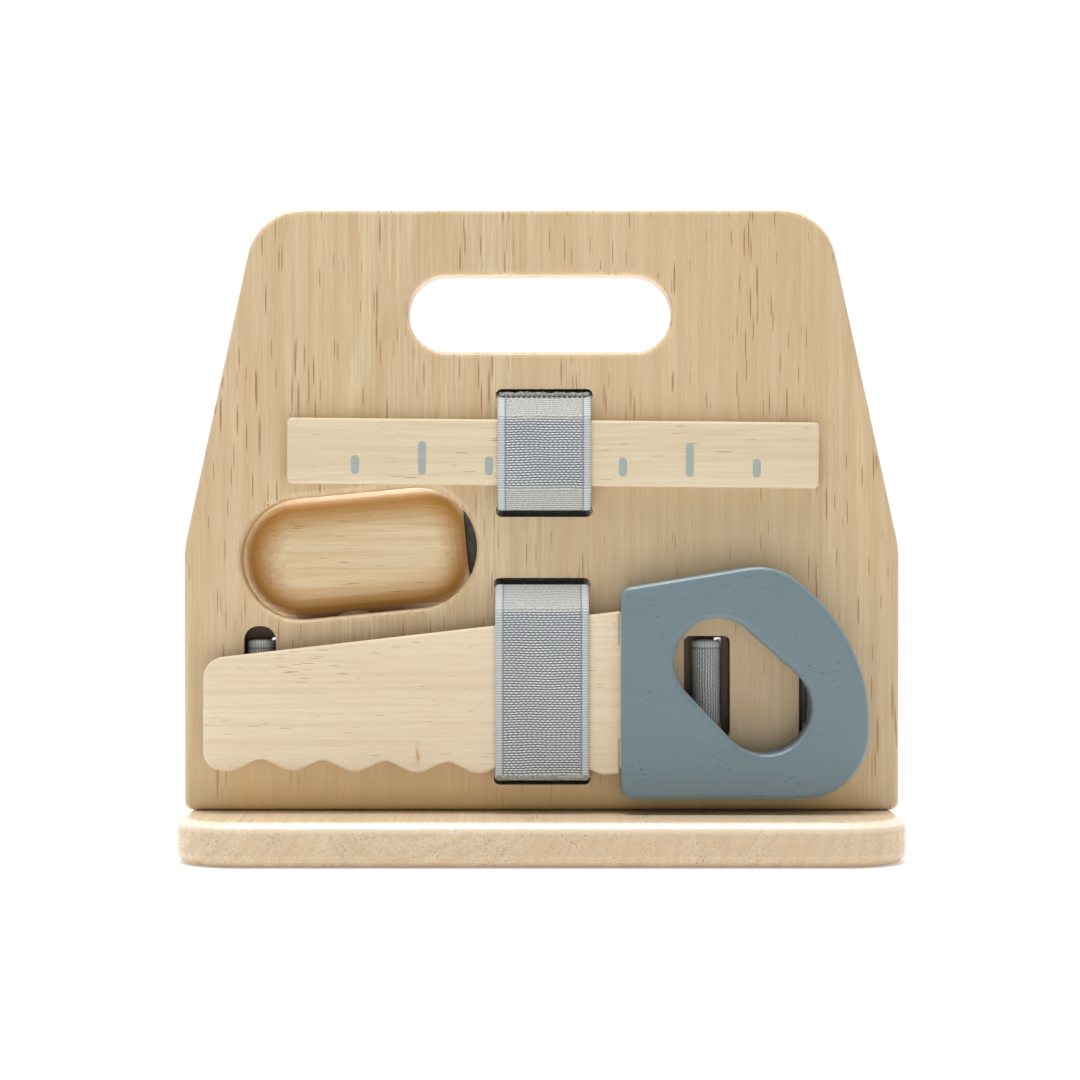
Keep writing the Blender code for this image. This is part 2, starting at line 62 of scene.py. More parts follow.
# Places and sizes of the tools and their straps, the same as in the CAD
HAMMER_X, HAMMER_Z, HAMMER_TILT = -69.1 * MM, 113.7 * MM, radians(5.5)
HAMMER_Y, GRIP_OFFSET, GRIP_RADIUS = 18.7 * MM, 5.0 * MM, 10.0 * MM
BACK_STRAP_MIDDLE = 63.3 * MM
HAMMER_SLOTS, DRIVER_SLOTS = (-106.3 * MM, -32.5 * MM), (62.4 * MM, 105.8 * MM)
DRIVER_X, DRIVER_RADIUS = 84.1 * MM, 12.5 * MM
PIN_RADIUS, PIN_Y = 3.8 * MM, -1.2 * MM
RULER_HEIGHT, RULER_LENGTH, RULER_TILT = 24.8 * MM, 200 * MM, radians(0.54)
RULER_SLOTS, SAW_SLOTS = (173.5 * MM, 129.8 * MM), (102.2 * MM, 28.7 * MM)
SAW_UNDER_STRAP = (31.0 * MM, 91.9 * MM)  # the blade's lowest and highest points beneath its strap

# Light
WORLD_DIM_SIDE, SOFTBOX_WATTS, BACK_LIGHT_WATTS, FLOOR_GLOW = 0.20, 9.5, 3.5, 0.24
WORLD_LIGHT = (("Y", -0.4, 0.6, 0.82), ("Z", 0.0, 0.8, 0.25))  # axis, from, to, added strength


# Shader helpers

class Nodes:
    """A material's node tree, with one short call for each kind of node."""

    def __init__(self, name):
        self.material = bpy.data.materials.new(name)
        self.material.use_nodes = True
        self.tree = self.material.node_tree
        self.shader = self.tree.nodes["Principled BSDF"]

    def put(self, socket, value):
        if isinstance(value, bpy.types.NodeSocket):
            self.tree.links.new(value, socket)
        else:
            socket.default_value = value

    def add(self, kind, values=(), **settings):
        node = self.tree.nodes.new("ShaderNode" + kind)
        for key, value in settings.items():
            setattr(node, key, value)
        for key, value in dict(values).items():
            self.put(node.inputs[key], value)
        return node

    def math(self, operation, a, b=0.0, c=0.0):
        return self.add("Math", {0: a, 1: b, 2: c}, operation=operation).outputs[0]

    def place(self):
        """Position in the part's own frame, in millimetres."""
        at = self.add("TexCoord").outputs["Object"]
        return self.add("Mapping", {"Vector": at, "Scale": (1000, 1000, 1000)}).outputs[0]

    def stretch(self, vector, scale, shift=(0, 0, 0)):
        return self.add("Mapping", {"Vector": vector, "Scale": scale, "Location": shift}).outputs[0]

    def noise(self, vector, scale=1.0, detail=3.0, roughness=0.55, distortion=0.0):
        values = {"Vector": vector, "Scale": scale, "Detail": detail, "Roughness": roughness,
                  "Distortion": distortion}
        return self.add("TexNoise", values).outputs["Fac"]

    def ramp(self, factor, *stops):
        """A colour ramp through (position, grey or colour) stops."""
        node = self.add("ValToRGB", {"Fac": factor})
        elements = node.color_ramp.elements
        while len(elements) < len(stops):
            elements.new(0.5)
        for element, (position, colour) in zip(elements, stops):
            element.position = position
            element.color = (colour,) * 3 + (1,) if isinstance(colour, float) else (*colour, 1)
        return node.outputs["Color"]

    def mix(self, factor, a, b, blend="MIX"):
        node = self.add("Mix", data_type="RGBA", blend_type=blend)
        for socket, value in ((node.inputs[0], factor), (node.inputs[6], a), (node.inputs[7], b)):
            self.put(socket, (*value, 1) if isinstance(value, tuple) and len(value) == 3 else value)
        return node.outputs[2]

    def separate(self, vector):
        return self.add("SeparateXYZ", {0: vector}).outputs

    def finish(self, colour, roughness, bump=None, strength=0.3, distance=0.2 * MM):
        self.put(self.shader.inputs["Base Color"], colour)
        self.put(self.shader.inputs["Roughness"], roughness)
        if bump is not None:
            node = self.add("Bump", {"Height": bump, "Strength": strength, "Distance": distance})
            self.put(self.shader.inputs["Normal"], node.outputs[0])
        return self.material


def along(axis, across, lengthwise):
    """A scale that stretches a pattern along the grain axis."""
    return tuple(lengthwise if name == axis else across for name in "XYZ")


def growth_rings(n, place, grain, heart, spacing):
    """Annual rings round a heart line that runs along the grain, off to one side of the piece."""
    parts = n.separate(place)
    bend = n.noise(n.stretch(place, along(grain, 0.022, 0.007)), detail=2)
    bend = n.math("MULTIPLY", n.math("SUBTRACT", bend, 0.5), 26.0)
    total = 0.0
    for axis, at in zip((name for name in "XYZ" if name != grain), heart):
        away = n.math("SUBTRACT", n.math("ADD", parts[axis], bend), at)
        total = n.math("ADD", total, n.math("MULTIPLY", away, away))
    turns = n.math("DIVIDE", n.math("SQRT", total), spacing)
    return n.math("ADD", n.math("MULTIPLY", n.math("SINE", n.math("MULTIPLY", turns, 2 * pi)), 0.5), 0.5)


def wood(name, grain, light, mid, pore, stave=None, pore_amount=0.5, pore_scale=1.0, shift=0.0,
         contrast=1.0, gloss=0.42, edge=None):
    """Lacquered rubberwood: soft figure, annual rings, fine lines and short dark pores along the grain.

    stave is the width in millimetres of the glued strips, each with its own figure and tint."""
    n = Nodes(name)
    place = n.place()
    if stave:
        x = n.separate(place)[0]
        strip = n.math("FLOOR", n.math("DIVIDE", n.math("ADD", x, shift), stave))
        random = n.add("TexWhiteNoise", {"W": strip}, noise_dimensions="1D")
        tint = random.outputs["Value"]
        jump = n.add("VectorMath", {0: random.outputs["Color"], 1: (900, 900, 900)}, operation="MULTIPLY")
        start = n.add("CombineXYZ", {0: n.math("MULTIPLY", strip, -stave)}).outputs[0]
        local = n.add("VectorMath", {0: place, 1: start}, operation="ADD").outputs[0]
        nudge = n.add("VectorMath", {0: random.outputs["Color"], 1: (70, 30, 50)}, operation="MULTIPLY")
        local = n.add("VectorMath", {0: local, 1: nudge.outputs[0]}, operation="ADD").outputs[0]
        place = n.add("VectorMath", {0: place, 1: jump.outputs[0]}, operation="ADD").outputs[0]
        rings = growth_rings(n, local, grain, (-shift + 40.0, 75.0), 6.5)
    else:
        rings = growth_rings(n, place, grain, (22.0, 8.0), 4.8)
        place = n.stretch(place, (1, 1, 1), (shift, shift * 2, shift * 3))
    figure = n.noise(n.stretch(place, along(grain, 0.06, 0.007)), detail=4, distortion=0.4)
    lines = n.noise(n.stretch(place, along(grain, 0.9, 0.016)), detail=4, roughness=0.65)
    fine = n.noise(n.stretch(place, along(grain, 2.4, 0.07)), detail=3, roughness=0.6)
    patch = n.noise(n.stretch(place, along(grain, 0.09, 0.014)), detail=3)
    stretched = n.stretch(place, along(grain, 0.74 * pore_scale, 0.036 * pore_scale))
    cells = n.add("TexVoronoi", {"Vector": stretched, "Scale": 1.0, "Randomness": 1.0}, feature="F1")
    size = n.math("MULTIPLY", n.ramp(patch, (0.38, 0.05), (0.66, 0.24)), pore_amount * 2)
    pores = n.math("SUBTRACT", 1.0, n.math("DIVIDE", cells.outputs["Distance"], size))
    pores = n.ramp(pores, (0.0, 0.0), (0.35, 1.0))
    base = n.mix(n.ramp(figure, (0.32, 0.0), (0.68, 1.0)), light, mid)
    ring_tone = tuple(c * k for c, k in zip(mid, (0.92, 0.84, 0.74)))
    base = n.mix(n.ramp(rings, (0.55, 0.0), (1.0, 0.5 * contrast)), base, ring_tone)
    for pattern, low, high, most, tone in ((lines, 0.42, 0.70, 0.75, (0.86, 0.76, 0.62)),
                                           (fine, 0.48, 0.74, 0.55, (0.76, 0.62, 0.46))):
        darker = tuple(c * k for c, k in zip(mid, tone))
        base = n.mix(n.ramp(pattern, (low, 0.0), (high, most * contrast)), base, darker)
    if stave:
        darker = tuple(c * k for c, k in zip(light, (0.90, 0.80, 0.68)))
        base = n.mix(n.math("MULTIPLY", tint, 0.4), base, darker)
    base = n.mix(n.math("MULTIPLY", pores, 0.78), base, pore)
    if edge:
        base = edge(n, base)
    height = n.math("SUBTRACT", n.math("MULTIPLY", fine, 0.25), pores)
    rough = n.ramp(lines, (0.3, gloss), (0.8, gloss + 0.14))
    n.shader.inputs["Coat Weight"].default_value = 0.35
    n.shader.inputs["Coat Roughness"].default_value = 0.28
    return n.finish(base, rough, height, 0.35, 0.12 * MM)


def painted_pocket_shade_and_foot_bounce(n, base):
    """Painted shade: the walls of the pockets and strap slots are darkened to a near black-brown. Painted
    warm bounce light: the foot of the board is a warmer amber.
    """
    x, y, z = n.separate(n.place())
    # painted shade: a mask for the walls inside the pockets and slots, leaving out the hammer's window
    deep = n.math("MULTIPLY", n.ramp(n.math("DIVIDE", n.math("ADD", y, 7.5), 15.0), (0.06, 0.0), (0.2, 1.0)),
                  n.math("LESS_THAN", y, 7.3))
    inside = n.math("MULTIPLY", n.math("LESS_THAN", n.math("ABSOLUTE", x), 116.0),
                    n.math("LESS_THAN", z, 180.0))
    window = n.math("MULTIPLY", n.math("GREATER_THAN", z, 88.0), n.math("LESS_THAN", x, -20.0))
    pocket_shade = n.math("MULTIPLY", n.math("MULTIPLY", deep, inside), n.math("SUBTRACT", 1.0, window))
    # painted warm bounce light: an amber tint low on the board, fading out towards its side edges
    foot = n.ramp(n.math("DIVIDE", z, 100.0), (0.17, 0.80), (0.42, 0.0))
    sides = n.ramp(n.math("DIVIDE", n.math("ABSOLUTE", x), 135.0), (0.85, 1.0), (0.97, 0.0))
    base = n.mix(n.math("MULTIPLY", foot, sides), base, (0.95, 0.66, 0.28))
    # painted shade mixed into the pockets and slots
    return n.mix(n.math("MULTIPLY", pocket_shade, 0.92), base, (0.15, 0.065, 0.027))


def knotted(n, base):
    """One small upright knot near the blade's teeth, with the grain parting round it."""
    x, _, z = n.separate(n.place())
    wander = n.math("MULTIPLY", n.math("SUBTRACT", n.noise(n.stretch(n.place(), (0.5, 0.5, 0.35))), 0.5), 1.8)
    u = n.math("DIVIDE", n.math("SUBTRACT", n.math("ADD", x, wander), -46.3), 1.5)
    v = n.math("DIVIDE", n.math("SUBTRACT", n.math("ADD", z, wander), 38.3), 6.0)
    away = n.math("SQRT", n.math("ADD", n.math("MULTIPLY", u, u), n.math("MULTIPLY", v, v)))
    base = n.mix(n.ramp(away, (0.45, 0.45), (1.0, 0.0)), base, (0.58, 0.36, 0.14))
    return n.mix(n.ramp(away, (0.25, 0.6), (0.5, 0.0)), base, (0.42, 0.22, 0.08))


def painted_rim_highlight(n, base):
    """Painted highlight: the base plank's rounded upper edge is made paler, as if lit from above."""
    z = n.math("DIVIDE", n.separate(n.place())[2], 20.0)
    # painted highlight on the upper fillet of the base plank
    rim_highlight = n.ramp(z, (0.60, 0.0), (0.72, 0.6), (0.80, 0.6), (0.82, 0.12))
    return n.mix(rim_highlight, base, (0.93, 0.85, 0.70))


def painted_head_edge_shade(n, base):
    """Painted shade on the hammer head: its rounded edges are browned where the window's walls hide them,
    darkest underneath where the handle goes in.
    """
    x, _, z = n.separate(n.place())
    right, up = n.math("SUBTRACT", x, HAMMER_X / MM), n.math("SUBTRACT", z, HAMMER_Z / MM)
    u = n.math("ADD", n.math("MULTIPLY", right, cos(HAMMER_TILT)), n.math("MULTIPLY", up, sin(HAMMER_TILT)))
    v = n.math("SUBTRACT", n.math("MULTIPLY", up, cos(HAMMER_TILT)),
               n.math("MULTIPLY", right, sin(HAMMER_TILT)))
    past = n.math("MAXIMUM", n.math("SUBTRACT", n.math("ABSOLUTE", u), 21.8), 0.0)
    away = n.math("SQRT", n.math("ADD", n.math("MULTIPLY", past, past), n.math("MULTIPLY", v, v)))
    # painted shade: a brown ring round the head's rounded edges
    ring = n.ramp(n.math("DIVIDE", away, 25.0), (0.34, 0.0), (0.80, 0.97), (0.87, 0.65), (0.96, 0.0))
    base = n.mix(ring, base, (0.52, 0.26, 0.045))
    # painted shade: near black under the head, beside the handle
    crevice_shade = n.ramp(n.math("DIVIDE", v, -25.0), (0.82, 0.0), (0.93, 0.92))
    return n.mix(crevice_shade, base, (0.15, 0.06, 0.018))


def paint(name):
    """Blue-grey stain over wood, with open pores, and a painted highlight that makes the front rims a little
    lighter.
    """
    n = Nodes(name)
    place = n.place()
    stretched = n.stretch(place, along("X", 0.85, 0.26))
    cells = n.add("TexVoronoi", {"Vector": stretched, "Scale": 1.0}, feature="F1")
    patch = n.noise(n.stretch(place, (0.05, 0.05, 0.05)), detail=3)
    size = n.ramp(patch, (0.36, 0.06), (0.62, 0.24))
    pores = n.math("SUBTRACT", 1.0, n.math("DIVIDE", cells.outputs["Distance"], size))
    pores = n.ramp(pores, (0.0, 0.0), (0.4, 1.0))
    cloud = n.noise(n.stretch(place, along("X", 0.35, 0.03)), detail=4)
    colour = n.mix(n.ramp(cloud, (0.3, 0.0), (0.75, 1.0)), (0.136, 0.192, 0.219), (0.148, 0.206, 0.232))
    colour = n.mix(n.math("MULTIPLY", pores, 0.6), colour, (0.05, 0.085, 0.105))
    y = n.separate(place)[1]
    # painted highlight on the rounded front rims
    rim_highlight = n.ramp(n.math("DIVIDE", n.math("ADD", y, 24.0), 3.0), (0.12, 0.0), (0.45, 0.5), (0.8, 0.15))
    colour = n.mix(rim_highlight, colour, (0.23, 0.30, 0.33))
    n.shader.inputs["Coat Weight"].default_value = 0.1
    n.shader.inputs["Coat Roughness"].default_value = 0.35
    height = n.math("SUBTRACT", n.math("MULTIPLY", cloud, 0.3), pores)
    return n.finish(colour, n.ramp(cloud, (0.3, 0.40), (0.8, 0.52)), height, 0.3, 0.1 * MM)


def webbing():
    """Ribbed elastic: rows of pale dashes over grey where it is stretched, a close pale knit elsewhere."""
    n = Nodes("grey_webbing")
    across, length, zone = n.separate(n.add("Attribute", attribute_name="web").outputs["Vector"])
    flat = n.add("CombineXYZ", {0: across, 1: length}).outputs[0]
    wobble = n.noise(n.stretch(flat, (0.05, 0.04, 1)), detail=1)
    moved = n.math("ADD", length, n.math("MULTIPLY", wobble, 1.6))
    rib = n.math("DIVIDE", moved, ROW_PITCH / MM)
    rows = n.math("ADD", n.math("MULTIPLY", n.math("SINE", n.math("MULTIPLY", rib, 2 * pi)), 0.5), 0.5)
    number = n.math("FLOOR", n.math("ADD", rib, 0.25))
    uneven = n.add("TexWhiteNoise", {"W": number}, noise_dimensions="1D").outputs["Value"]
    phase = n.math("ADD", n.math("MULTIPLY", number, 0.5), n.math("MULTIPLY", uneven, 0.22))
    dash = n.math("ADD", n.math("DIVIDE", across, DASH / MM), phase)
    dashes = n.math("ADD", n.math("MULTIPLY", n.math("SINE", n.math("MULTIPLY", dash, 2 * pi)), 0.5), 0.5)
    fuzz = n.noise(n.stretch(flat, (1.3, 1.9, 1)), detail=3, roughness=0.7)
    knit = n.math("ADD", n.math("MULTIPLY", fuzz, 0.75), n.math("MULTIPLY", rows, 0.25))
    weave = n.math("MULTIPLY", rows, n.math("ADD", n.math("MULTIPLY", dashes, 0.5), 0.5))
    weave = n.math("ADD", weave, n.math("MULTIPLY", n.math("SUBTRACT", fuzz, 0.5), 0.5))
    stretched = n.ramp(weave, (0.05, (0.05, 0.06, 0.068)), (0.34, (0.30, 0.325, 0.335)),
                       (0.78, (0.74, 0.76, 0.76)))
    resting = n.ramp(knit, (0.30, (0.17, 0.173, 0.168)), (0.50, (0.39, 0.395, 0.38)),
                     (0.70, (0.62, 0.62, 0.60)))
    colour = n.mix(zone, resting, stretched)
    off = n.math("DIVIDE", n.math("ABSOLUTE", across), 20.0)
    selvedge = n.ramp(off, (0.735, 0.0), (0.755, 1.0))
    edge_colour = n.mix(rows, (0.30, 0.32, 0.325), (0.66, 0.69, 0.70))
    edge_colour = n.mix(n.math("MULTIPLY", fuzz, 0.5), edge_colour, (0.42, 0.45, 0.46))
    colour = n.mix(selvedge, colour, edge_colour)
    line = n.ramp(off, (0.705, 0.0), (0.724, 0.8), (0.736, 0.8), (0.755, 0.0))
    colour = n.mix(line, colour, (0.17, 0.20, 0.225))
    n.shader.inputs["Sheen Weight"].default_value = 0.15
    n.shader.inputs["Sheen Roughness"].default_value = 0.5
    height = n.math("ADD", n.math("MULTIPLY", weave, zone), n.math("MULTIPLY", knit, 0.6))
    return n.finish(colour, n.ramp(fuzz, (0.3, 0.78), (0.7, 0.92)), height, 0.7, 0.25 * MM)


def rubber():
    n = Nodes("dark_grey_rubber")
    place = n.place()
    grain = n.noise(n.stretch(place, (4, 4, 4)), detail=3)
    scuff = n.noise(n.stretch(place, (0.35, 0.35, 0.35)), detail=4)
    colour = n.mix(n.ramp(scuff, (0.4, 0.0), (0.7, 1.0)), (0.070, 0.072, 0.064), (0.105, 0.105, 0.098))
    return n.finish(colour, n.ramp(grain, (0.3, 0.55), (0.7, 0.75)), grain, 0.25, 0.08 * MM)


def steel():
    n = Nodes("zinc_steel")
    place = n.place()
    brushed = n.noise(n.stretch(place, (9, 9, 0.3)), detail=3)
    colour = n.mix(brushed, (0.56, 0.56, 0.55), (0.70, 0.70, 0.68))
    n.shader.inputs["Metallic"].default_value = 1.0
    return n.finish(colour, n.ramp(brushed, (0.3, 0.25), (0.7, 0.42)), brushed, 0.15, 0.05 * MM)


def ink():
    n = Nodes("ruler_ink")
    place = n.place()
    worn = n.noise(n.stretch(place, along("X", 3.0, 0.4)), detail=4)
    colour = n.mix(n.ramp(worn, (0.5, 0.0), (0.75, 0.5)), (0.315, 0.365, 0.345), (0.50, 0.49, 0.42))
    return n.finish(colour, 0.6, worn, 0.15, 0.05 * MM)


def thread_material():
    n = Nodes("stitch_thread")
    twist = n.noise(n.stretch(n.place(), (5, 5, 5)), detail=2)
    colour = n.mix(twist, (0.03, 0.03, 0.032), (0.10, 0.10, 0.105))
    return n.finish(colour, 0.8, twist, 0.4, 0.1 * MM)


def frayed_material():
    n = Nodes("frayed_end")
    tuft = n.noise(n.stretch(n.place(), along("Z", 2.6, 0.5)), detail=4, roughness=0.7)
    colour = n.ramp(tuft, (0.34, (0.10, 0.095, 0.075)), (0.55, (0.34, 0.33, 0.28)),
                    (0.74, (0.62, 0.60, 0.53)))
    return n.finish(colour, 0.9, tuft, 0.8, 0.3 * MM)


# Geometry helpers

def fillet(before, corner, after, radius, steps):
    at = Vector(corner)
    back, ahead = (Vector(before) - at).normalized(), (Vector(after) - at).normalized()
    half = acos(max(-1, min(1, back.dot(ahead)))) / 2
    centre = at + (back + ahead).normalized() * radius / sin(half)
    start, end = at + back * radius / tan(half), at + ahead * radius / tan(half)
    first = atan2(start.y - centre.y, start.x - centre.x)
    sweep = (atan2(end.y - centre.y, end.x - centre.x) - first + pi) % (2 * pi) - pi
    return [centre + radius * Vector((cos(first + sweep * i / steps), sin(first + sweep * i / steps)))
            for i in range(steps + 1)]


def rounded(corners, steps=6):
    points = []
    for i, (u, v, radius) in enumerate(corners):
        points += fillet(corners[i - 1][:2], (u, v), corners[(i + 1) % len(corners)][:2], radius, steps)
    return points


def resampled(points, step, closed):
    """Points an even step apart along a line."""
    line = points + [points[0]] if closed else points
    lengths = [0.0]
    for a, b in zip(line, line[1:]):
        lengths.append(lengths[-1] + (b - a).length)
    count = max(2, round(lengths[-1] / step))
    made, k = [], 0
    for i in range(count if closed else count + 1):
        s = lengths[-1] * i / count
        while k < len(line) - 2 and lengths[k + 1] < s:
            k += 1
        span = lengths[k + 1] - lengths[k]
        made.append(line[k].lerp(line[k + 1], (s - lengths[k]) / span if span else 0))
    return made, lengths[-1]


def new_object(name, bm, finish, smooth=True):
    mesh = bpy.data.meshes.new(name)
    bmesh.ops.recalc_face_normals(bm, faces=bm.faces)
    bm.to_mesh(mesh)
    bm.free()
    made = bpy.data.objects.new(name, mesh)
    bpy.context.scene.collection.objects.link(made)
    mesh.materials.append(finish)
    if smooth:
        mesh.shade_smooth()
    return made


def web_section():
    """(across, outward) points round a strap's cross-section: plump selvedges and a flat middle."""
    half, thick = WEB_WIDTH / 2, WEB_THICKNESS / 2
    across = [-half + WEB_WIDTH * i / 34 for i in range(35)]

    def rise(u):
        edge = (half - abs(u)) / MM
        if edge < 0.45:
            return 0.35 + 0.65 * sqrt(max(0.0, 1 - (1 - edge / 0.45) ** 2))
        return 1.0 if edge < 2.4 else 0.72 if edge < 3.0 else 0.9
    top = [(u, thick * rise(u)) for u in across]
    return top + [(u, -thick * min(rise(u), 0.9)) for u in reversed(across)]


def woven_strap(name, path, place, closed, zone, finish):
    """Webbing along a path in a plane. place(point, across) gives its position, zone(point) its stretch."""
    points, total = resampled(path, ROW_PITCH / 4, closed)
    section = web_section()
    bm = bmesh.new()
    layer = bm.verts.layers.float_vector.new("web")
    rings = []
    for i, point in enumerate(points):
        before = points[i - 1] if closed or i else point
        after = points[(i + 1) % len(points)] if closed or i < len(points) - 1 else point
        way = (after - before).normalized()
        normal = Vector((-way.y, way.x))
        s = total * i / len(points)
        stretch = zone(point)
        ribs = 0.055 * MM * sin(2 * pi * s / ROW_PITCH) * stretch
        ring = []
        for u, out in section:
            grow = 1 + ribs / (WEB_THICKNESS / 2) if abs(u) < WEB_WIDTH / 2 - 2.9 * MM else 1
            vert = bm.verts.new(place(point + normal * out * grow, u))
            vert[layer] = (u / MM, s / MM, stretch)
            ring.append(vert)
        rings.append(ring)
    pairs = list(zip(rings, rings[1:])) + ([(rings[-1], rings[0])] if closed else [])
    count = len(section)
    for a, b in pairs:
        for j in range(count):
            k = (j + 1) % count
            bm.faces.new((a[j], a[k], b[k], b[j]))
    if not closed:
        bm.faces.new(rings[0])
        bm.faces.new(rings[-1])
    return new_object(name, bm, finish)


def smoothstep(low, high, value):
    t = max(0.0, min(1.0, (value - low) / (high - low)))
    return t * t * (3 - 2 * t)


# Straps

def middle_x(node):
    low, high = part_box(node)
    return (low[0] + high[0]) / 2


def front_strap(node, tool_low, tool_high, finish):
    """A front strap's loop: over the tool, through both slots and behind the board."""
    low, high = (Vector(c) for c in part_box(node))
    x = middle_x(node)
    over, behind = low.y + WEB_THICKNESS / 2, high.y - WEB_THICKNESS / 2
    top, bottom = high.z - WEB_THICKNESS / 2, low.z + WEB_THICKNESS / 2
    reach = RAISED + WEB_THICKNESS / 2
    path = rounded([
        (over, tool_low - reach, 1.6 * MM), (over, tool_high + reach, 1.6 * MM),
        (FRONT - 0.7 * MM, top, 1.4 * MM), (behind, top, 1.2 * MM),
        (behind, bottom, 1.2 * MM), (FRONT - 0.7 * MM, bottom, 1.4 * MM),
    ])

    def zone(p):
        if p.x > over + 1.2 * MM:
            return 0.0
        return smoothstep(tool_low - 0.8 * MM, tool_low + 0.4 * MM, p.y) \
            * (1 - smoothstep(tool_high - 0.6 * MM, tool_high + 0.6 * MM, p.y))

    made = woven_strap(node + "_webbing", path, lambda p, u: (x + u, p.x, p.y), True, zone, finish)
    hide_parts(node)
    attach(made, "carrier")


def backing_strip(node, slots_z, finish):
    """The strap's lapped ends behind the board: one strip over the loop and past both slots."""
    x, loop_back = middle_x(node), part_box(node)[1][1]
    on_board, on_loop = (y + WEB_THICKNESS / 2 for y in (BACK + 0.15 * MM, loop_back + 0.1 * MM))
    top, bottom = slots_z
    end, bend, step, radius = 8.5 * MM, 2.8 * MM, 3 * MM, 4 * MM
    corners = [(on_board, top + end), (on_board, top + bend), (on_loop, top - step),
               (on_loop, bottom + step), (on_board, bottom - bend), (on_board, bottom - end)]
    line = [Vector(corners[0])]
    for before, corner, after in zip(corners, corners[1:], corners[2:]):
        line += fillet(before, corner, after, radius, 6)
    line.append(Vector(corners[-1]))
    made = woven_strap(node + "_backing", line, lambda p, u: (x + u * 1.06, p.x, p.y), False,
                       lambda p: 0.0, finish)
    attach(made, "carrier")


def back_strap_path(slots, tool_x, tool_y, tool_radius, spread):
    """The back strap's line seen from above, as in the frame: roll, straight, round the tool, and back."""
    roll_radius = PIN_RADIUS + RAISED + WEB_THICKNESS / 2
    wrap = tool_radius + 0.5 * MM + WEB_THICKNESS / 2
    sides = []
    for slot, side in zip(slots, (1, -1)):
        roll = [Vector((slot + side * roll_radius * cos(a), PIN_Y + roll_radius * sin(a)))
                for a in (radians(-315 + 7.5 * i) for i in range(43))]
        leave = Vector((slot + side * roll_radius, BACK + 1.7 * MM))
        centre = Vector((tool_x - side * spread, tool_y))
        to = leave - centre
        touch = (atan2(to.y, to.x) - side * acos(wrap / to.length) + pi / 2) % (2 * pi) - pi / 2
        arc = [centre + wrap * Vector((cos(a), sin(a)))
               for a in (touch + (pi / 2 - touch) * i / 16 for i in range(17))]
        sides.append(roll + fillet(roll[-1], leave, arc[0], 1.4 * MM, 5) + arc)
    return sides[0] + sides[1][::-1]


def back_strap(node, slots, tool_x, tool_y, tool_radius, spread, finish):
    low, high = (Vector(c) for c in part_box(node))
    middle = (low.z + high.z) / 2
    path = back_strap_path(slots, tool_x, tool_y, tool_radius, spread)
    made = woven_strap(node + "_webbing", path, lambda p, u: (p.x, p.y, middle + u), False,
                       lambda p: 0.35 + 0.65 * smoothstep(BACK, BACK + 3 * MM, p.y), finish)
    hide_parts(node)
    return made


def sewn_end(x, low_z, high_z, front_y, thread, frayed, name, stitched):
    """The strap's ragged raw end where it laps over itself at a slot, stitched or not."""
    bm = bmesh.new()
    half, columns = WEB_WIDTH / 2 - 0.6 * MM, 60
    rings = []
    for i in range(columns + 1):
        u = -half + 2 * half * i / columns
        ragged = 0.55 * MM * noise.noise(Vector((u / MM * 0.9, low_z * 1000, 3.0)))
        lean = 0.25 * MM * noise.noise(Vector((u / MM * 0.5, 7.0, high_z * 1000)))
        ring = [(0.7 * MM, low_z), (0, low_z + 0.1 * MM), (0, high_z + ragged - 0.2 * MM),
                (0.5 * MM, high_z + ragged)]
        rings.append([bm.verts.new((x + u, front_y + back + lean, z)) for back, z in ring])
    for a, b in zip(rings, rings[1:]):
        for j in range(4):
            bm.faces.new((a[j], a[(j + 1) % 4], b[(j + 1) % 4], b[j]))
    bm.faces.new(rings[0])
    bm.faces.new(rings[-1])
    end = new_object(name, bm, frayed)
    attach(end, "carrier")
    if stitched:
        stitches(x, low_z, front_y, half - 1.6 * MM, thread, name + "_stitches")


def stitches(x, low_z, front_y, half, thread, name):
    """A row of dark stitches across the webbing."""
    bm = bmesh.new()
    count = 17
    for i in range(count):
        u = -half + 2 * half * i / (count - 1)
        skew = 0.12 * MM * noise.noise(Vector((i * 1.7, 2.0, 5.0)))
        turn = Matrix.Rotation(pi / 2, 4, "Y")
        at = Matrix.Translation((x + u, front_y - 0.15 * MM, low_z + 0.35 * MM + skew))
        bmesh.ops.create_uvsphere(bm, u_segments=8, v_segments=6, radius=1,
                                  matrix=at @ turn @ Matrix.Diagonal((0.32 * MM, 0.25 * MM, 0.72 * MM, 1)))
    row = new_object(name, bm, thread)
    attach(row, "carrier")


# Ruler marks

def ruler_marks(finish):
    """Round-ended painted marks, long and short in turn, 25 mm apart along the ruler."""
    low, high = (Vector(c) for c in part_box("ruler"))
    centre = (low + high) / 2
    turn = Matrix.Translation((centre.x, low.y, centre.z)) @ Matrix.Rotation(RULER_TILT, 4, "Y")
    foot, width, pitch, first = -8.6 * MM, 3.0 * MM, 25.15 * MM, 1.1 * MM
    for k in range(-3, 4):
        tall = (12.6 if k % 2 == 0 else 7.1) * MM
        bm = bmesh.new()
        radius = width / 2
        outline = []
        for cz, start in ((foot + tall - radius, 0), (foot + radius, pi)):
            outline += [(first + pitch * k + radius * cos(a), cz + radius * sin(a))
                        for a in (start + pi * i / 10 for i in range(11))]
        faces = []
        for inset, depth in ((0, 0.02 * MM), (0, -0.05 * MM), (0.12 * MM, -0.09 * MM)):
            cx, cz = first + pitch * k, foot + tall / 2
            ring = []
            for u, v in outline:
                away = Vector((u - cx, v - cz))
                away -= away.normalized() * inset
                ring.append(bm.verts.new(turn @ Vector((cx + away.x, depth, cz + away.y))))
            faces.append(ring)
        for a, b in zip(faces, faces[1:]):
            for j in range(len(a)):
                bm.faces.new((a[j], a[(j + 1) % len(a)], b[(j + 1) % len(a)], b[j]))
        bm.faces.new(faces[0])
        bm.faces.new(faces[-1])
        mark = new_object(f"ruler_mark_{k + 4}", bm, finish, smooth=False)
        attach(mark, "ruler")


